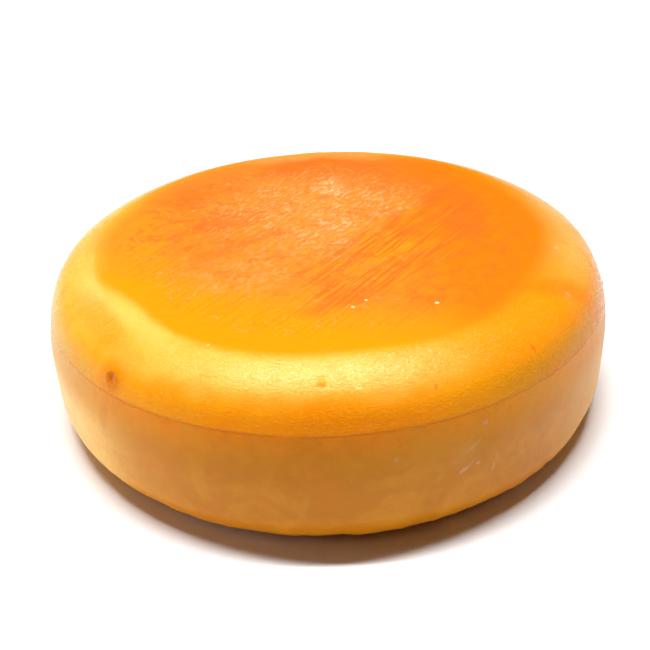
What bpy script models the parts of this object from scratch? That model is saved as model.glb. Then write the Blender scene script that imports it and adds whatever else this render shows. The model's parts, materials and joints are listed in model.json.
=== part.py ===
# A whole wheel of pressed cheese, lying on its flat base.
# Metres, +Z up. The origin is the middle of the base, and Z is the wheel's turning axis.

import bpy
import bmesh
from math import cos, sin, tau, radians
from mathutils import Vector
from mathutils.geometry import interpolate_bezier

# Driving dimensions
WHEEL_RADIUS = 0.175          # at the widest, low on the side
WHEEL_HEIGHT = 0.100
TOP_FLAT_RADIUS = 0.140       # where the flat top ends and the shoulder starts
BASE_FLAT_RADIUS = 0.155      # where the flat base ends and the foot starts
SEAM_RADIUS = 0.1715          # the line where the mould's lid met its wall
SEAM_HEIGHT = 0.0735
SEAM_SLOPE = radians(73)      # steepness of the side where it crosses the seam
WIDEST_HEIGHT = 0.0255        # the side stands upright here, and curls under below

CREASE_HALF_WIDTH = 0.0007    # the seam is a fine open crease
CREASE_DEPTH = 0.0007

SEGMENTS = 96                 # round the wheel
SHOULDER_STEPS = 10
SIDE_STEPS = 7
FOOT_STEPS = 8

RIND_COLOUR = (0.66, 0.20, 0.012, 1.0)
RIND_ROUGHNESS = 0.38


def clear_scene():
    for old in list(bpy.data.objects):
        bpy.data.objects.remove(old, do_unlink=True)


def curve_points(start, start_pull, end_pull, end, steps):
    """Points of one smooth stretch of the outline, as (radius, height)."""
    handles = [Vector((r, z, 0)) for r, z in (start, start_pull, end_pull, end)]
    return [(p.x, p.y) for p in interpolate_bezier(*handles, steps + 1)]


def shoulder_outline():
    """From the rim of the flat top, over the shoulder, down to the seam."""
    start = Vector((TOP_FLAT_RADIUS, WHEEL_HEIGHT))
    end = Vector((SEAM_RADIUS, SEAM_HEIGHT))
    pull = 0.37 * (end - start).length
    down_slope = Vector((cos(SEAM_SLOPE), -sin(SEAM_SLOPE)))
    return curve_points(start, start + Vector((pull, 0)), end - pull * down_slope, end, SHOULDER_STEPS)


def side_outline():
    """From the seam down the slightly bulging side to its widest place."""
    start = Vector((SEAM_RADIUS, SEAM_HEIGHT))
    end = Vector((WHEEL_RADIUS, WIDEST_HEIGHT))
    span = (end - start).length
    down_slope = Vector((cos(SEAM_SLOPE), -sin(SEAM_SLOPE)))
    return curve_points(start, start + 0.26 * span * down_slope, end + Vector((0, 0.45 * span)), end, SIDE_STEPS)


def foot_outline():
    """From the widest place, curling under to the flat base."""
    start = Vector((WHEEL_RADIUS, WIDEST_HEIGHT))
    end = Vector((BASE_FLAT_RADIUS, 0))
    span = (end - start).length
    return curve_points(start, start - Vector((0, 0.42 * span)), end + Vector((0.42 * span, 0)), end, FOOT_STEPS)


def wheel_outline():
    """The half section, from the middle of the top round to the middle of the base."""
    shoulder = shoulder_outline()
    side = side_outline()
    foot = foot_outline()
    along = Vector((cos(SEAM_SLOPE), -sin(SEAM_SLOPE)))
    inward = Vector((along.y, -along.x))
    seam = Vector((SEAM_RADIUS, SEAM_HEIGHT))
    crease = [
        seam - along * CREASE_HALF_WIDTH,
        seam + inward * CREASE_DEPTH,
        seam + along * CREASE_HALF_WIDTH,
    ]
    top_middle = (0.0, WHEEL_HEIGHT)
    base_middle = (0.0, 0.0)
    return [top_middle] + shoulder[:-1] + [tuple(p) for p in crease] + side[1:] + foot[1:] + [base_middle]


def turned_mesh(name, outline, segments):
    """Spins an outline round Z into a closed mesh."""
    bm = bmesh.new()
    corners = [bm.verts.new((radius, 0.0, height)) for radius, height in outline]
    edges = [bm.edges.new(pair) for pair in zip(corners, corners[1:])]
    bmesh.ops.spin(
        bm,
        geom=corners + edges,
        cent=(0, 0, 0),
        axis=(0, 0, 1),
        dvec=(0, 0, 0),
        angle=tau,
        steps=segments,
        use_merge=True,
        use_duplicate=False,
    )
    bmesh.ops.remove_doubles(bm, verts=bm.verts[:], dist=0.00001)
    bmesh.ops.recalc_face_normals(bm, faces=bm.faces[:])
    mesh = bpy.data.meshes.new(name)
    bm.to_mesh(mesh)
    bm.free()
    return mesh


def rind_material():
    material = bpy.data.materials.new("rind")
    material.use_nodes = True
    shader = material.node_tree.nodes["Principled BSDF"]
    shader.inputs["Base Color"].default_value = RIND_COLOUR
    shader.inputs["Roughness"].default_value = RIND_ROUGHNESS
    shader.inputs["Metallic"].default_value = 0.0
    return material


def make_cheese_wheel():
    mesh = turned_mesh("cheese_wheel", wheel_outline(), SEGMENTS)
    mesh.materials.append(rind_material())
    mesh.shade_smooth()
    mesh.set_sharp_from_angle(angle=radians(35))
    wheel = bpy.data.objects.new("cheese_wheel", mesh)
    bpy.context.scene.collection.objects.link(wheel)
    return wheel


clear_scene()
make_cheese_wheel()
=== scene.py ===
import bpy
import bmesh
import json
from math import atan2, cos, exp, hypot, radians, sin, tau
from mathutils import Matrix, Vector, noise
from mathutils.geometry import interpolate_bezier

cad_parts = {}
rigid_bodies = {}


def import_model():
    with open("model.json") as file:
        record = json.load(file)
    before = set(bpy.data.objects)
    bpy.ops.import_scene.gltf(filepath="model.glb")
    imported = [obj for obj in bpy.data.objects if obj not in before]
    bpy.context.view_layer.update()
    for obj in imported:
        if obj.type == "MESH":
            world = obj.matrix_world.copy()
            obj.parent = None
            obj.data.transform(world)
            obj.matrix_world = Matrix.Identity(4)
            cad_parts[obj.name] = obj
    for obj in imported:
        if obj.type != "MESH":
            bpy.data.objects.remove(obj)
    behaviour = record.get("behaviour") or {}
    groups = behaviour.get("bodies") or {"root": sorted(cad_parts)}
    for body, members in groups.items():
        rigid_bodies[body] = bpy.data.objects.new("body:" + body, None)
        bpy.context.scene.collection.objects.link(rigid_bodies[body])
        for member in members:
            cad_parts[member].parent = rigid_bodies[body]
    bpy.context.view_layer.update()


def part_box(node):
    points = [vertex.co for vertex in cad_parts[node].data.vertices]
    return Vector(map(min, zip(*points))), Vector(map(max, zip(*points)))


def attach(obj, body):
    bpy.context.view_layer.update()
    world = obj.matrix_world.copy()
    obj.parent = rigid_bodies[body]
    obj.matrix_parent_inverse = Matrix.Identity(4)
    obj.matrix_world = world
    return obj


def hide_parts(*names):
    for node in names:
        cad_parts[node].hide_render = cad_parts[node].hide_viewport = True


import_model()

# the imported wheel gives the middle, the radius and the height used below
wheelLow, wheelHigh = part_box("cheese_wheel")
wheelMiddle = (wheelLow + wheelHigh) / 2
wheelRadius = (wheelHigh.x - wheelLow.x) / 2
wheelHeight = wheelHigh.z - wheelLow.z
baseHeight = wheelLow.z
millimetre = 0.001


# small sums used by the shapes

def smoothStep(low, high, value):
    t = min(max((value - low) / (high - low), 0.0), 1.0)
    return t * t * (3 - 2 * t)


def bell(distance, width):
    return exp(-(distance / width) ** 2)


def grain(x, y, z, size):
    # soft noise from about -1 to 1, with features of the given size in metres
    return noise.noise(Vector((x, y, z)) / size)


# the cheese wheel's body

wheelShape = {
    "segments": 720,
    # half section, from the rim of the flat top down: radius, height, downward slope, rings to the next
    "knots": [
        (wheelRadius - 0.0360, wheelHeight, radians(0), 5),
        (wheelRadius - 0.0320, wheelHeight - 0.0006, radians(16), 18),   # the rim
        (wheelRadius - 0.0155, wheelHeight - 0.0080, radians(33), 20),   # the shoulder
        (wheelRadius - 0.0035, wheelHeight - 0.0265, radians(73), 24),   # the seam
        (wheelRadius, 0.0255, radians(90), 26),                          # the widest place, low on the side
        (wheelRadius - 0.0200, 0.0000, radians(180), 0),                 # the foot meets the flat base
    ],
    "topRings": 24,
    "baseRings": 5,
}

seam = {
    "radius": wheelRadius - 0.0035,
    "height": wheelHeight - 0.0265,
    "slope": radians(73),
    "halfWidth": 0.50 * millimetre,
    "depth": 0.15 * millimetre,
    "lipHeight": 0.12 * millimetre,   # the upper lip stands a little proud
    "lipWidth": 1.6 * millimetre,
    "wander": 0.45 * millimetre,      # how far the line strays up and down
}

# how uneven the rind is: the height of each kind of unevenness, and the size of its features
rindRelief = {
    "swell": 0.35 * millimetre,
    "swellSize": 70 * millimetre,
    "dent": 0.16 * millimetre,
    "dentSize": 18 * millimetre,
    "ripple": 0.05 * millimetre,
    "rippleSize": 6 * millimetre,
    "footWobble": 0.7 * millimetre,   # in and out, round the rolled foot
    "footSag": 0.5 * millimetre,      # and up and down
}

# marks on the rind: direction round the wheel, then radius and height
driedPit = {
    "turn": radians(227.9),
    "radius": wheelRadius - 0.0069,
    "height": wheelHeight - 0.0184,
    "size": 3.6 * millimetre,
    "rise": 0.30 * millimetre,
    "depth": 0.26 * millimetre,
    # its stains, from the halo in: size in millimetres, strength and colour
    "stains": [(8.5, 0.60, "haloOrange"), (3.6, 0.65, "pitBrown"), (1.4, 0.45, "pitDark")],
}
pimple = {
    "turn": radians(268.6),
    "radius": wheelRadius - 0.0193,
    "height": wheelHeight - 0.0057,
    "size": 1.9 * millimetre,
    "rise": 0.75 * millimetre,
    "moat": 0.12 * millimetre,
}
spur = {
    "turn": radians(351.0),
    "radius": wheelRadius - 0.0028,
    "height": wheelHeight - 0.0300,
    "size": 1.6 * millimetre,
    "rise": 1.0 * millimetre,
}


def bend(start, end):
    # a smooth run of the half section between two knots, close to an arc
    firstRadius, firstHeight, firstSlope, steps = start
    lastRadius, lastHeight, lastSlope, _ = end
    first = Vector((firstRadius, firstHeight, 0))
    last = Vector((lastRadius, lastHeight, 0))
    pull = (last - first).length / 3 / cos((lastSlope - firstSlope) / 4) ** 2
    leaving = Vector((cos(firstSlope), -sin(firstSlope), 0)) * pull
    arriving = Vector((cos(lastSlope), -sin(lastSlope), 0)) * pull
    return [(p.x, p.y) for p in interpolate_bezier(first, first + leaving, last - arriving, last, steps + 1)]


def wheelOutline():
    knots = wheelShape["knots"]
    seamPoint = Vector((seam["radius"], seam["height"]))
    down = Vector((cos(seam["slope"]), -sin(seam["slope"])))
    curve = [knots[0][:2]]
    for start, end in zip(knots, knots[1:]):
        curve += bend(start, end)[1:]
    # closer rings on both sides of the seam, for its crease
    steps = (-2.4, -1.6, -1, -0.5, 0, 0.5, 1, 1.6, 2.4)
    crease = [tuple(seamPoint + down * seam["halfWidth"] * step) for step in steps]
    clear = seam["halfWidth"] * 3.2
    above = [p for p in curve if p[1] > seamPoint.y and (Vector(p) - seamPoint).length > clear]
    below = [p for p in curve if p[1] < seamPoint.y and (Vector(p) - seamPoint).length > clear]

    rim = knots[0]
    base = knots[-1]
    flat = [(rim[0] * i / wheelShape["topRings"], rim[1]) for i in range(wheelShape["topRings"])]
    under = [(base[0] * (1 - i / wheelShape["baseRings"]), 0) for i in range(1, wheelShape["baseRings"] + 1)]
    return flat + above + crease + below + under


def spinWheel(outline):
    bm = bmesh.new()
    points = [bm.verts.new((radius, 0, height)) for radius, height in outline]
    lines = [bm.edges.new(pair) for pair in zip(points, points[1:])]
    bmesh.ops.spin(bm, geom=points + lines, cent=(0, 0, 0), axis=(0, 0, 1), dvec=(0, 0, 0), angle=tau,
                   steps=wheelShape["segments"], use_merge=True, use_duplicate=False)
    bmesh.ops.remove_doubles(bm, verts=bm.verts[:], dist=0.00001)
    bmesh.ops.recalc_face_normals(bm, faces=bm.faces[:])
    return bm


def markPoint(mark):
    return Vector((mark["radius"] * cos(mark["turn"]), mark["radius"] * sin(mark["turn"]), mark["height"]))


def refine(bm, mark, reach, cuts):
    # closer faces round a mark, so that its shape is in the mesh
    point = markPoint(mark)
    faces = [face for face in bm.faces if (face.calc_center_median() - point).length < reach]
    near = {edge for face in faces for edge in face.edges}
    bmesh.ops.subdivide_edges(bm, edges=list(near), cuts=cuts, use_grid_fill=True)


def shapeRind(bm):
    relief = rindRelief
    bm.normal_update()
    pitPoint = markPoint(driedPit)
    pimplePoint = markPoint(pimple)
    spurPoint = markPoint(spur)
    moves = []
    for v in bm.verts:
        x, y, z = v.co
        radius = hypot(x, y)
        turn = atan2(y, x)
        onSide = smoothStep(0.126, 0.161, radius)
        aboveFloor = smoothStep(0, 0.012, z)
        # slow swell of the whole body, and small dents of the rind
        lift = relief["swell"] * grain(x, y, z, relief["swellSize"]) * aboveFloor
        lift += relief["dent"] * grain(x + 1, y, z, relief["dentSize"]) * aboveFloor
        lift += relief["ripple"] * grain(x, y + 1, z, relief["rippleSize"]) * aboveFloor
        # the crease of the seam, deeper in some stretches than in others
        wave = seam["wander"] * grain(cos(turn), sin(turn), 0.3, 0.35)
        across = z - seam["height"]
        if radius > 0.14 and abs(across) < 0.012:
            strength = 0.75 + 0.35 * grain(cos(turn) * 2, sin(turn) * 2, 5.0, 0.5)
            lift -= seam["depth"] * strength * max(0, 1 - abs(across) / seam["halfWidth"])
            lift += seam["lipHeight"] * bell(across - seam["lipWidth"] * 0.75, seam["lipWidth"])
        move = v.normal * lift
        # the seam line itself strays, and takes the rind beside it along
        move.z += wave * bell(across, 0.008) * onSide
        # the rolled foot is uneven
        roll = bell(z - 0.008, 0.008) * onSide
        wobble = grain(cos(turn) * 3, sin(turn) * 3, 1, 0.4)
        wobble += 0.6 * grain(cos(turn) * 9, sin(turn) * 9, 4, 0.4)
        move += Vector((cos(turn), sin(turn), 0)) * roll * relief["footWobble"] * wobble
        move.z -= roll * relief["footSag"] * wobble
        # a dried pit with a swollen edge, one round pimple and one small spur
        away = (v.co - pitPoint).length
        if away < driedPit["size"] * 4:
            ragged = away * (1 + 0.35 * grain(x, y, z, 0.004))
            swollen = bell(ragged - driedPit["size"] * 1.1, driedPit["size"] * 0.5)
            sunk = bell(ragged, driedPit["size"] * 0.5)
            move += v.normal * (driedPit["rise"] * swollen - driedPit["depth"] * sunk)
        away = (v.co - pimplePoint).length
        if away < pimple["size"] * 3:
            swollen = bell(away, pimple["size"] * 0.7)
            sunk = bell(away - pimple["size"] * 1.5, pimple["size"] * 0.5)
            move += v.normal * (pimple["rise"] * swollen - pimple["moat"] * sunk)
        away = (v.co - spurPoint).length
        if away < spur["size"] * 3:
            move += v.normal * (spur["rise"] * bell(away, spur["size"] * 0.8))
        moves.append(move)
    for v, move in zip(bm.verts, moves):
        v.co += move
        v.co.z = max(v.co.z, 0)


def makeWheel():
    bm = spinWheel(wheelOutline())
    refine(bm, driedPit, driedPit["size"] * 2.6, 3)
    refine(bm, pimple, pimple["size"] * 2.6, 3)
    refine(bm, spur, spur["size"] * 2.0, 1)
    shapeRind(bm)
    bmesh.ops.recalc_face_normals(bm, faces=bm.faces[:])
    bmesh.ops.translate(bm, verts=bm.verts[:], vec=(wheelMiddle.x, wheelMiddle.y, baseHeight))
    mesh = bpy.data.meshes.new("wheelRind")
    bm.to_mesh(mesh)
    bm.free()
    mesh.shade_smooth()
    piece = bpy.data.objects.new("wheelRind", mesh)
    bpy.context.scene.collection.objects.link(piece)
    print("wheel body:", len(mesh.polygons), "faces")
    return piece


# materials, written as sums of sockets

class Wire:
    def __init__(self, nodes, socket):
        self.nodes = nodes
        self.socket = socket

    def sum(self, operation, *values):
        return self.nodes.add("ShaderNodeMath", {"operation": operation}, dict(enumerate(values)))

    def __add__(self, other):
        return self.sum("ADD", self, other)

    def __radd__(self, other):
        return self.sum("ADD", other, self)

    def __sub__(self, other):
        return self.sum("SUBTRACT", self, other)

    def __rsub__(self, other):
        return self.sum("SUBTRACT", other, self)

    def __mul__(self, other):
        return self.sum("MULTIPLY", self, other)

    def __rmul__(self, other):
        return self.sum("MULTIPLY", other, self)

    def __truediv__(self, other):
        return self.sum("DIVIDE", self, other)

    def __pow__(self, other):
        return self.sum("POWER", self, other)


class Nodes:
    def __init__(self, name):
        self.material = bpy.data.materials.new(name)
        self.material.use_nodes = True
        self.tree = self.material.node_tree
        self.shader = self.tree.nodes["Principled BSDF"]
        self.place = self.add("ShaderNodeTexCoord", {}, {}, "Object")

    def add(self, kind, settings, inputs, output=0):
        # settings come first, because some of them change which sockets there are
        node = self.tree.nodes.new(kind)
        for name, value in settings.items():
            setattr(node, name, value)
        for name, value in inputs.items():
            self.feed(node.inputs[name], value)
        return Wire(self, node.outputs[output])

    def feed(self, socket, value):
        if isinstance(value, Wire):
            self.tree.links.new(value.socket, socket)
        elif socket.type == "RGBA" and len(value) == 3:
            socket.default_value = (*value, 1)
        else:
            socket.default_value = value

    def split(self, vector):
        return [self.add("ShaderNodeSeparateXYZ", {}, {0: vector}, axis) for axis in "XYZ"]

    def ease(self, value, low, high):
        # 0 below low, 1 above high, and a soft step between
        return self.add("ShaderNodeMapRange", {"interpolation_type": "SMOOTHSTEP"},
                        {"Value": value, "From Min": low, "From Max": high})

    def speckle(self, place, scale, detail=2.0, roughness=0.5, distortion=0.0):
        return self.add("ShaderNodeTexNoise", {},
                        {"Vector": place, "Scale": scale, "Detail": detail, "Roughness": roughness,
                         "Distortion": distortion}, "Fac")

    def put(self, place, centre, turn, size):
        # place seen from a patch: its middle is the origin, and its edge is at a distance of 1
        return self.add("ShaderNodeMapping", {"vector_type": "TEXTURE"},
                        {"Vector": place, "Location": centre, "Rotation": (0, 0, turn), "Scale": size})

    def length(self, vector):
        return self.add("ShaderNodeVectorMath", {"operation": "LENGTH"}, {0: vector}, "Value")

    def patch(self, place, centre, turn, size, soft=0.5):
        return 1 - self.ease(self.length(self.put(place, centre, turn, size)), 1 - soft, 1 + soft)

    def stray(self, place, scale, amount):
        # place pushed about by soft noise, which loosens the edge of whatever reads it
        push = self.add("ShaderNodeTexNoise", {}, {"Vector": place, "Scale": scale, "Detail": 3.0}, "Color")
        pushed = self.add("ShaderNodeVectorMath", {"operation": "MULTIPLY_ADD"},
                          {0: push, 1: (amount, amount, amount), 2: place}, "Vector")
        return self.add("ShaderNodeVectorMath", {"operation": "SUBTRACT"},
                        {0: pushed, 1: (amount / 2, amount / 2, amount / 2)}, "Vector")

    def blend(self, share, under, over):
        # the colour sockets of a Mix node are its inputs 6 and 7, and its output 2
        return self.add("ShaderNodeMix", {"data_type": "RGBA"}, {"Factor": share, 6: under, 7: over}, 2)


rindLook = {
    # the flat top
    "middleOrange": (0.86, 0.157, 0.013),
    "rightOrange": (0.87, 0.129, 0.003),
    "backOrange": (0.85, 0.146, 0.017),
    "frontYellow": (0.87, 0.212, 0.001),
    # a painted highlight, for the pale crescent on the rim
    "rimHighlight": (0.90, 0.370, 0.060),
    "deepRed": (0.84, 0.098, 0.009),
    # pale scuffs and scratches, and painted sheen on the top
    "scuffPinkAndSheen": (0.90, 0.260, 0.095),
    # white specks, and painted sheen in the scuffed middle
    "speckWhiteAndSheen": (0.90, 0.42, 0.20),
    # pale specks, and painted glints along the front band
    "dotPaleAndGlint": (0.95, 0.500, 0.130),
    # the shoulder, from the rim down to the seam
    # partly the shoulder's own yellow, partly a painted highlight along the front band
    "bandYellowAndHighlight": (0.88, 0.350, 0.040),
    "shoulderGold": (0.84, 0.300, 0.004),
    "backShoulder": (0.84, 0.235, 0.002),
    "leftGold": (0.64, 0.330, 0.006),
    # partly gold rind, partly painted sheen on the right shoulder
    "rightGoldAndSheen": (0.62, 0.305, 0.055),
    # partly the rind's ochre, partly painted shade on the right
    "rightOchreAndShade": (0.68, 0.248, 0.002),
    "frontRight": (0.76, 0.220, 0.003),
    "leftYellow": (0.84, 0.335, 0.030),
    "stain": (0.84, 0.218, 0.000),
    # a darker seam line, partly painted shade in the crease
    "seamBrownAndShade": (0.70, 0.140, 0.000),
    # the side
    "underSeam": (0.82, 0.275, 0.000),
    "sideOchre": (0.60, 0.198, 0.001),
    "sideGold": (0.78, 0.345, 0.008),
    "sidePale": (0.72, 0.275, 0.010),
    "sideDark": (0.66, 0.195, 0.000),
    # painted bounce light from the floor, on the rolled foot
    "footBounceGold": (0.78, 0.290, 0.012),
    "underOrange": (0.70, 0.190, 0.002),
    "scuffWhite": (0.72, 0.42, 0.24),
    "sideBack": (0.74, 0.270, 0.004),
    # painted sheen and light for the lower left of the side
    "sideSheen": (0.94, 0.540, 0.110),
    # the dried pit
    "haloOrange": (0.62, 0.165, 0.000),
    "pitBrown": (0.46, 0.100, 0.000),
    "pitDark": (0.28, 0.040, 0.000),
    "streakTurn": radians(53),       # the brush went over the top this way
    "specular": 0.22,
    "sheenTint": (1.0, 0.96, 0.62),
    "roughness": 0.30,
    "peelStretch": 2.2,              # the orange peel is this much longer round the wheel than high
    "bumpStrength": 0.6,
    "bumpDistance": 0.0003,
}

# patches of the top: middle, half size, turn, softness, strength and colour, in metres
topPatches = [
    ((0.000, 0.106), (0.042, 0.020), -0.10, 0.5, 0.85, "deepRed"),
    ((0.062, 0.092), (0.040, 0.018), -0.75, 0.6, 0.45, "deepRed"),
    ((0.086, 0.024), (0.018, 0.046), 0.15, 0.5, 0.70, "deepRed"),
    ((-0.064, 0.022), (0.022, 0.012), 0.20, 0.6, 0.70, "deepRed"),
    ((-0.052, -0.016), (0.026, 0.008), 0.80, 0.6, 0.65, "deepRed"),
    ((-0.085, 0.068), (0.024, 0.014), 0.60, 0.6, 0.50, "deepRed"),
    ((0.012, -0.084), (0.030, 0.008), 0.45, 0.6, 0.50, "deepRed"),
    ((0.040, -0.026), (0.020, 0.008), 0.90, 0.6, 0.60, "frontYellow"),
    ((0.020, -0.120), (0.052, 0.016), 0.14, 0.8, 0.60, "frontYellow"),
    ((-0.112, -0.030), (0.014, 0.070), 0.10, 0.8, 0.55, "frontYellow"),
    # a pale strip along the back edge of the top: painted reflection
    ((-0.010, 0.142), (0.090, 0.014), 0.00, 0.7, 0.40, "scuffPinkAndSheen"),
    ((-0.072, 0.046), (0.042, 0.052), 0.00, 0.6, 0.25, "deepRed"),
    ((0.046, 0.066), (0.030, 0.014), -0.60, 0.6, 0.35, "deepRed"),
]

# white specks on the top: place, and size in millimetres
topSpecks = [
    (0.0140, -0.0945, 1.1), (0.0214, -0.0875, 0.9), (0.0590, -0.0942, 1.2),
    (0.1377, -0.0346, 1.3), (-0.0609, -0.1261, 0.8),
]

# marks on the side and shoulder: direction in degrees, radius and height in millimetres, half sizes
# along and up, lean, strength and colour
sideMarks = [
    (292.1, 174.6, 42.4, 2.6, 1.1, 0.6, 0.75, "scuffWhite"),
    (293.4, 174.6, 45.0, 3.2, 0.6, 0.9, 0.35, "scuffWhite"),
    (294.7, 174.6, 43.2, 1.5, 0.9, 0.4, 0.60, "scuffWhite"),
    (297.9, 174.8, 37.0, 0.9, 2.6, -0.2, 0.60, "scuffWhite"),
    (298.6, 174.8, 42.0, 0.7, 4.0, 0.1, 0.25, "scuffWhite"),
    (293.6, 174.0, 55.2, 5.0, 1.0, 0.5, 0.40, "scuffWhite"),
    (292.0, 174.2, 50.0, 8.0, 8.0, 0.0, 0.07, "scuffWhite"),
    (296.0, 172.6, 66.4, 1.5, 1.2, 0.0, 0.60, "scuffWhite"),
    (280.0, 173.8, 57.6, 1.1, 0.9, 0.0, 0.60, "scuffWhite"),
    (309.9, 163.1, 88.9, 1.6, 1.6, 0.0, 0.60, "deepRed"),
    (328.7, 157.5, 94.1, 1.6, 1.4, 0.0, 0.30, "scuffWhite"),
    (288.2, 163.4, 88.5, 1.1, 1.1, 0.0, 0.60, "deepRed"),
    # on the pimple: a painted shadow below and to its left, in the stain colour, and a painted highlight on
    # its top
    (268.2, 156.4, 93.9, 2.6, 2.2, 0.3, 0.45, "stain"),
    (268.8, 155.5, 94.5, 1.1, 0.9, 0.0, 0.80, "bandYellowAndHighlight"),
]


def topColour(n):
    look = rindLook
    loose = n.stray(n.place, 26, 0.034)
    frayed = n.stray(loose, 140, 0.008)
    x, y, z = n.split(frayed)
    fine = n.speckle(n.place, 250, 3, 0.6, 1.0)
    middling = n.speckle(n.place, 95, 4, 0.65, 0.8)
    inner = n.patch(frayed, (-0.002, -0.004, 0), 0, (0.122, 0.118, 10), 0.10)

    # orange, redder on the right and behind, deep yellow towards the front left edge
    colour = n.blend(n.ease(y, 0.040, 0.095), look["middleOrange"], look["backOrange"])
    colour = n.blend(n.ease(x, 0.020, 0.085), colour, look["rightOrange"])
    yellowing = n.ease(x * -0.45 + y * -0.89 + (middling - 0.5) * 0.05, 0.058, 0.112)
    colour = n.blend(yellowing, colour, look["frontYellow"])
    for (px, py), (sx, sy), turn, soft, strength, tone in topPatches:
        mask = n.patch(frayed, (px, py, 0), turn, (sx, sy, 10), soft)
        colour = n.blend(mask * strength, colour, look[tone])

    # mottled all over, and far more inside the ring that the mould's lid left
    redness = inner * (n.ease(x, 0.000, -0.060) * 0.06 + 0.60) + 0.04
    redness = n.ease(middling, 0.50, 0.66) * redness * (1 - yellowing * 0.7)
    colour = n.blend(redness, colour, look["deepRed"])
    colour = n.blend(n.ease(middling, 0.48, 0.34) * (inner * 0.16 + 0.08), colour, look["frontYellow"])

    # brush streaks, redder than what is between them
    wavy = n.stray(n.place, 40, 0.003)
    brushed = n.put(wavy, (0, 0, 0), look["streakTurn"], (0.044, 0.0022, 1))
    lines = n.speckle(brushed, 1, 3, 0.6)
    streakZone = n.patch(frayed, (0.042, -0.022, 0), look["streakTurn"], (0.082, 0.034, 10), 0.30)
    redLines = n.ease(lines, 0.47, 0.60) * (streakZone * 0.75 + inner * 0.20)
    colour = n.blend(redLines, colour, look["deepRed"])
    yellowLines = n.ease(lines, 0.47, 0.34) * (streakZone * 0.22 + inner * 0.10)
    colour = n.blend(yellowLines, colour, look["frontYellow"])

    # the dry, scuffed middle, cut off along the streaks; its pale pink is partly scuffs and partly a painted
    # sheen
    across = x * sin(look["streakTurn"]) - y * cos(look["streakTurn"])
    scuffZone = n.patch(frayed, (0.002, 0.032, 0), 0, (0.066, 0.058, 10), 0.5)
    scuffZone = scuffZone * (1 - n.ease(across, 0.014, 0.036))
    scuffZone = scuffZone + n.patch(frayed, (-0.046, -0.052, 0), 0, (0.030, 0.024, 10), 0.5) * 0.45
    loosened = n.stray(n.place, 90, 0.006)
    strokes = n.speckle(n.put(loosened, (0, 0, 0), look["streakTurn"], (0.0072, 0.0028, 1)), 1, 3, 0.6)
    clusters = n.ease(n.speckle(n.place, 75, 3, 0.6), 0.36, 0.60)
    worms = n.ease(strokes * 0.7 + fine * 0.3, 0.480, 0.580) * (clusters * 0.8 + 0.2)
    colour = n.blend(scuffZone * (worms * 0.75 + 0.09), colour, look["scuffPinkAndSheen"])
    # whiter patches in the scuffed middle, partly a painted sheen
    bright = n.patch(frayed, (0.009, 0.074, 0), 0.3, (0.011, 0.010, 10), 0.5) * 0.8
    bright = bright + n.patch(frayed, (0.004, 0.012, 0), 0.3, (0.012, 0.034, 10), 0.6) * 0.35
    colour = n.blend(bright * (worms * 0.75 + 0.10), colour, look["speckWhiteAndSheen"])
    # single pale scratches, anywhere inside the ring
    scratches = n.ease(n.speckle(n.place, 150, 3, 0.7, 2.0), 0.59, 0.67)
    colour = n.blend(scratches * inner * n.ease(x, 0.090, 0.000) * 0.50, colour, look["scuffPinkAndSheen"])
    for sx, sy, size in topSpecks:
        speck = n.patch(n.place, (sx, sy, wheelHeight), 0, [size * millimetre] * 3, 0.3)
        colour = n.blend(speck, colour, look["speckWhiteAndSheen"])
    return colour, scuffZone * worms


def shoulderColour(n, radius, drift):
    look = rindLook
    loose = n.stray(n.place, 30, 0.030)
    x, y, z = n.split(loose)
    # yellow in front, partly the band's own colour and partly a painted highlight, orange round the back,
    # gold lower down, a stain in front above the seam
    frontness = n.ease(x * -0.35 - y, 0.080, 0.165)
    high = n.blend(frontness, look["backShoulder"], look["bandYellowAndHighlight"])
    high = n.blend(n.ease(x, -0.100, -0.140), high, look["leftYellow"])
    edge = n.stray(n.place, 60, 0.006)
    arc = n.patch(edge, (-0.1225, -0.0900, 0), radians(-60), (0.036, 0.0085, 10), 0.6)
    high = n.blend(arc * 0.65, high, look["frontYellow"])
    high = n.blend(n.ease(x - y * 0.3, 0.080, 0.150), high, look["frontRight"])
    # high on the right a paler, greyer gold, partly painted sheen
    high = n.blend(n.ease(x + y * 0.8, 0.055, 0.120) * n.ease(y, 0.090, 0.020), high, look["rightGoldAndSheen"])
    low = n.blend(n.ease(x, -0.105, -0.150), look["shoulderGold"], look["leftGold"])
    # low on the right the shoulder turns a darker ochre, partly painted shade
    low = n.blend(n.ease(x, 0.030, 0.120), low, look["rightOchreAndShade"])
    colour = n.blend(n.ease(radius + drift * 0.010, 0.1675, 0.1590), low, high)
    stained = n.patch(loose, (-0.004, -0.170, 0.074), 0, (0.070, 0.050, 0.012), 0.6)
    colour = n.blend(stained * 0.75, colour, look["stain"])
    cloud = n.speckle(n.place, 60, 4, 0.6, 0.5)
    colour = n.blend(n.ease(cloud, 0.48, 0.66) * 0.30, colour, look["stain"])
    # pale specks all over the shoulder, with more along the front band as painted glints
    dots = n.ease(n.speckle(n.place, 760, 1, 0.5), 0.60, 0.70)
    band = frontness * n.ease(radius, 0.1630, 0.1560) * n.ease(x, -0.100, -0.070)
    return n.blend(dots * (band * 0.40 + 0.17), colour, look["dotPaleAndGlint"])


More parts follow.
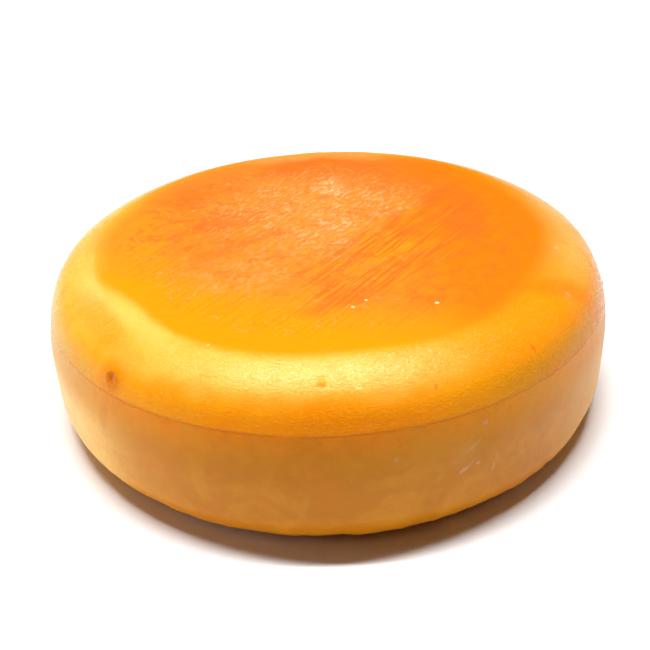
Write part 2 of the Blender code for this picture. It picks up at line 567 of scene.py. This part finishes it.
def sideColour(n, z, drift):
    look = rindLook
    loose = n.stray(n.place, 26, 0.030)
    x, y, _ = n.split(loose)
    cloud = n.speckle(n.place, 32, 5, 0.6, 0.6)
    mottle = n.speckle(n.place, 140, 4, 0.6, 0.6)
    # dull ochre in front, gold round the sides and back
    goldness = n.ease(x * -0.12 + y, -0.154, -0.100)
    colour = n.blend(goldness, look["sideOchre"], look["sideGold"])
    colour = n.blend(n.ease(y, -0.040, 0.050), colour, look["sideBack"])
    # richer up to the seam, stained under it at the front left
    rich = n.blend(n.ease(x, -0.105, -0.160), look["underSeam"], look["leftGold"])
    colour = n.blend(n.ease(z + drift * 0.008, 0.0480, 0.0715), colour, rich)
    stain = n.ease(z + drift * 0.006, seam["height"] - 0.014, seam["height"] - 0.002)
    stain = stain * n.patch(loose, (-0.022, -0.165, 0), 0, (0.085, 0.060, 10), 0.5)
    colour = n.blend(stain * 0.9, colour, look["stain"])
    colour = n.blend(n.ease(cloud, 0.48, 0.66) * 0.60, colour, look["sidePale"])
    colour = n.blend(n.ease(cloud, 0.48, 0.32) * 0.55, colour, look["sideDark"])
    # painted sheen: the lower left of the side is made paler and whiter
    bright = n.ease(x, -0.100, -0.142) * n.ease(y, 0.010, -0.050)
    bright = bright * n.ease(z + drift * 0.010, 0.062, 0.042)
    colour = n.blend(bright, colour, look["sideSheen"])
    colour = n.blend(n.ease(mottle, 0.50, 0.64) * 0.28, colour, look["sidePale"])
    colour = n.blend(n.ease(mottle, 0.50, 0.36) * 0.28, colour, look["sideDark"])
    # the rolled foot painted lighter, as painted bounce light from the floor, and the duller underside
    colour = n.blend(n.ease(z + drift * 0.006, 0.018, 0.007) * 0.7, colour, look["footBounceGold"])
    under = n.blend(n.ease(cloud, 0.46, 0.62) * 0.60, look["underOrange"], look["sidePale"])
    under = n.blend(n.ease(mottle, 0.50, 0.64) * 0.35, under, look["deepRed"])
    return n.blend(n.ease(z, 0.0036, 0.0010), colour, under)


def makeRind():
    look = rindLook
    n = Nodes("orangeRind")
    x, y, z = n.split(n.place)
    radius = (x * x + y * y) ** 0.5
    drift = n.speckle(n.place, 34, 4, 0.6) - 0.5

    top, dry = topColour(n)
    shoulder = shoulderColour(n, radius, drift)
    side = sideColour(n, z, drift)
    # the top's edge is crisp in front, and fades out round the sides and back
    swayed = radius + (n.speckle(n.place, 16, 1) - 0.5) * 0.010
    # in front this crisp edge is also where the painted highlight of the band begins
    crispness = n.ease(x * -0.35 - y, 0.050, 0.125)
    rim = n.ease(swayed, 0.1365, 0.1450) * crispness + n.ease(swayed, 0.1280, 0.1520) * (1 - crispness)
    upper = n.blend(rim, top, shoulder)
    # a painted highlight: a pale crescent on the rim at the front left
    edge = n.stray(n.place, 60, 0.005)
    crescentHighlight = n.patch(edge, (-0.1035, -0.0940, 0), radians(-54), (0.038, 0.0058, 10), 0.8)
    upper = n.blend(crescentHighlight, upper, look["rimHighlight"])
    # and a tongue of the top's orange over the rim on the right
    tongue = n.patch(n.stray(n.place, 45, 0.014), (0.127, -0.078, 0), 0.15, (0.024, 0.0075, 10), 0.7)
    upper = n.blend(tongue * 0.50, upper, look["rightOrange"])
    belowSeam = n.ease(z, seam["height"] + 0.0004, seam["height"] - 0.0004)
    colour = n.blend(belowSeam, upper, side)

    # the seam's crease is a little darker, in broken stretches: partly a darker seam line, partly painted
    # shade in the crease, stronger round the sides
    offSeam = z - seam["height"]
    crease = n.ease(offSeam * offSeam, 0.0008 ** 2, 0.0001 ** 2)
    crease = crease * n.ease(radius, 0.165, 0.168) * n.ease(n.speckle(n.place, 45, 3, 0.6), 0.24, 0.54)
    colour = n.blend(crease * (n.ease(x * x, 0.006, 0.014) * 0.30 + 0.35), colour, look["seamBrownAndShade"])

    # the dried pit: a stained halo, a brown middle and a dark centre
    pit = markPoint(driedPit)
    ragged = n.stray(n.place, 260, 0.005)
    for size, strength, tone in driedPit["stains"]:
        mask = n.patch(ragged, pit, 0, [size * millimetre] * 3, 0.6)
        colour = n.blend(mask * strength, colour, look[tone])

    # scuffs and spots, each one a small frayed patch facing out of the wheel; two of them are a painted
    # shadow and a painted highlight on the pimple
    scratchy = n.stray(n.place, 420, 0.0035)
    for degrees, far, high, wide, tall, lean, strength, tone in sideMarks:
        turn = radians(degrees)
        spot = n.add("ShaderNodeMapping", {"vector_type": "TEXTURE"}, {
            "Vector": scratchy, "Location": Vector((far * cos(turn), far * sin(turn), high)) * millimetre,
            "Rotation": (lean, 0, turn), "Scale": Vector((6, wide, tall)) * millimetre})
        mask = 1 - n.ease(n.length(spot), 0.6, 1.4)
        colour = n.blend(mask * (strength * 0.8), colour, look[tone])

    # fine grain in the colour itself
    pores = n.speckle(n.place, 900, 2, 0.6)
    colour = n.blend(n.ease(pores, 0.52, 0.70) * 0.16, colour, look["haloOrange"])

    n.feed(n.shader.inputs["Base Color"], colour)
    grit = n.speckle(n.place, 180, 3, 0.6)
    onSide = n.ease(z, seam["height"] + 0.002, seam["height"] - 0.010)
    onTop = 1 - rim
    n.shader.inputs["Specular IOR Level"].default_value = look["specular"]
    n.shader.inputs["Specular Tint"].default_value = (*look["sheenTint"], 1)

    # orange peel, drawn out level round the shoulder, and the dry grain of the scuffs
    reach = wheelRadius / look["peelStretch"]
    wrapped = n.add("ShaderNodeCombineXYZ", {},
                    {"X": x / radius * reach, "Y": y / radius * reach, "Z": radius - z})
    peel = n.speckle(wrapped, 800, 2, 0.6, 0.8)
    glints = n.ease(n.speckle(wrapped, 620, 2, 0.6, 0.5), 0.50, 0.60) * rim * (1 - onSide)
    rough = look["roughness"] + grit * 0.06 + onSide * 0.06 + onTop * -0.02 + dry * 0.12 - glints * 0.22
    n.feed(n.shader.inputs["Roughness"], rough)
    pebbles = n.speckle(n.place, 420, 2, 0.5)
    height = peel * ((1 - onSide) * rim * 0.9 + 0.3) + pebbles * 0.4 + dry * 0.8
    bump = n.add("ShaderNodeBump", {}, {"Strength": look["bumpStrength"], "Distance": look["bumpDistance"],
                                       "Height": height})
    n.feed(n.shader.inputs["Normal"], bump)
    print("rind:", len(n.tree.nodes), "material nodes")
    return n.material


# the studio: a pale floor, one long light overhead and three weaker ones round about, and the camera

studio = {
    "floorSize": 8.0,
    "floorColour": (0.90, 0.90, 0.90),
    "floorGlow": (0.40, 1.30),       # distances from the wheel where the glow starts and is full
    "worldStrength": 0.01,
    "matt": ("leftBox", "rightBox"),     # these lights leave no sheen on the rind
    # each light: place, width and height, and power; all of them look at the wheel
    "lights": {
        "overhead": ((-0.03, 0.01, 1.15), (0.86, 0.09), 27.5),
        "leftBox": ((-1.28, 0.00, 0.20), (0.6, 0.4), 4.6),
        "rightBox": ((1.30, 0.25, 0.40), (0.7, 0.5), 1.2),
        "backLeftBox": ((-0.95, 1.10, 0.80), (0.5, 0.4), 2.0),
    },
}

shot = {
    "distance": 3.5,             # from the middle of the base, in wheel radii
    "elevation": radians(33.84),
    "aim": (-0.0100, 0, 0.1838),  # in wheel radii
    "roll": radians(-2.646),
    "lens": 49.5692,             # millimetres, in front of a sensor this wide
    "sensorWidth": 36,
}


def makeFloor():
    bm = bmesh.new()
    bmesh.ops.create_grid(bm, x_segments=1, y_segments=1, size=studio["floorSize"])
    bmesh.ops.translate(bm, verts=bm.verts[:], vec=(wheelMiddle.x, wheelMiddle.y, baseHeight - 0.0002))
    mesh = bpy.data.meshes.new("paleFloor")
    bm.to_mesh(mesh)
    bm.free()
    floor = bpy.data.objects.new("paleFloor", mesh)
    bpy.context.scene.collection.objects.link(floor)
    n = Nodes("paleFloor")
    n.shader.inputs["Base Color"].default_value = (*studio["floorColour"], 1)
    n.shader.inputs["Roughness"].default_value = 0.6
    # far out, past the reach of the lights, the floor glows, so that it stays white
    far = n.ease(n.length(n.place), *studio["floorGlow"])
    n.feed(n.shader.inputs["Emission Color"], n.blend(far, (0, 0, 0), (1, 1, 1)))
    n.shader.inputs["Emission Strength"].default_value = 1.0
    mesh.materials.append(n.material)


def makeLight(name, place, aim, size, power):
    data = bpy.data.lights.new(name, "AREA")
    data.shape = "RECTANGLE"
    data.size, data.size_y = size
    data.energy = power
    lamp = bpy.data.objects.new(name, data)
    # the light's width stays level: across the view for one overhead
    back = (Vector(place) - Vector(aim)).normalized()
    above = Vector((0, 1, 0)) if back.z > 0.9 else Vector((0, 0, 1))
    across = above.cross(back).normalized()
    turn = Matrix((across, back.cross(across), back)).transposed().to_4x4()
    lamp.matrix_world = Matrix.Translation(place) @ turn
    lamp.visible_glossy = name not in studio["matt"]
    bpy.context.scene.collection.objects.link(lamp)


def makeStudio():
    makeFloor()
    world = bpy.data.worlds.new("studio")
    bpy.context.scene.world = world
    world.use_nodes = True
    # the room is dim, but it looks white where it is seen past the floor
    tree = world.node_tree
    seen = tree.nodes.new("ShaderNodeLightPath")
    strength = tree.nodes.new("ShaderNodeMapRange")
    strength.inputs["To Min"].default_value = studio["worldStrength"]
    tree.links.new(seen.outputs["Is Camera Ray"], strength.inputs["Value"])
    tree.links.new(strength.outputs["Result"], tree.nodes["Background"].inputs["Strength"])
    tree.nodes["Background"].inputs["Color"].default_value = (1, 1, 1, 1)
    for name, (place, size, power) in studio["lights"].items():
        makeLight(name, place, wheelMiddle, size, power)
    bpy.context.scene.view_settings.view_transform = "Standard"
    print("studio: floor and", len(studio["lights"]), "lights")


def makeCamera():
    reach = shot["distance"] * wheelRadius
    eye = Vector((0, -reach * cos(shot["elevation"]), reach * sin(shot["elevation"])))
    aim = Vector(shot["aim"]) * wheelRadius
    ahead = (aim - eye).normalized()
    right = ahead.cross(Vector((0, 0, 1))).normalized()
    up = right.cross(ahead)
    turned = cos(shot["roll"]) * right + sin(shot["roll"]) * up
    risen = -sin(shot["roll"]) * right + cos(shot["roll"]) * up
    data = bpy.data.cameras.new("camera")
    data.sensor_width = shot["sensorWidth"]
    data.lens = shot["lens"]
    camera = bpy.data.objects.new("camera", data)
    turn = Matrix((turned, risen, -ahead)).transposed().to_4x4()
    camera.matrix_world = Matrix.Translation(eye + Vector((wheelMiddle.x, wheelMiddle.y, baseHeight))) @ turn
    bpy.context.scene.collection.objects.link(camera)
    bpy.context.scene.camera = camera
    print("camera: lens", round(data.lens, 1), "mm")


makeCamera()
makeStudio()
wheel = makeWheel()
wheel.data.materials.append(makeRind())
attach(wheel, "root")
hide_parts("cheese_wheel")
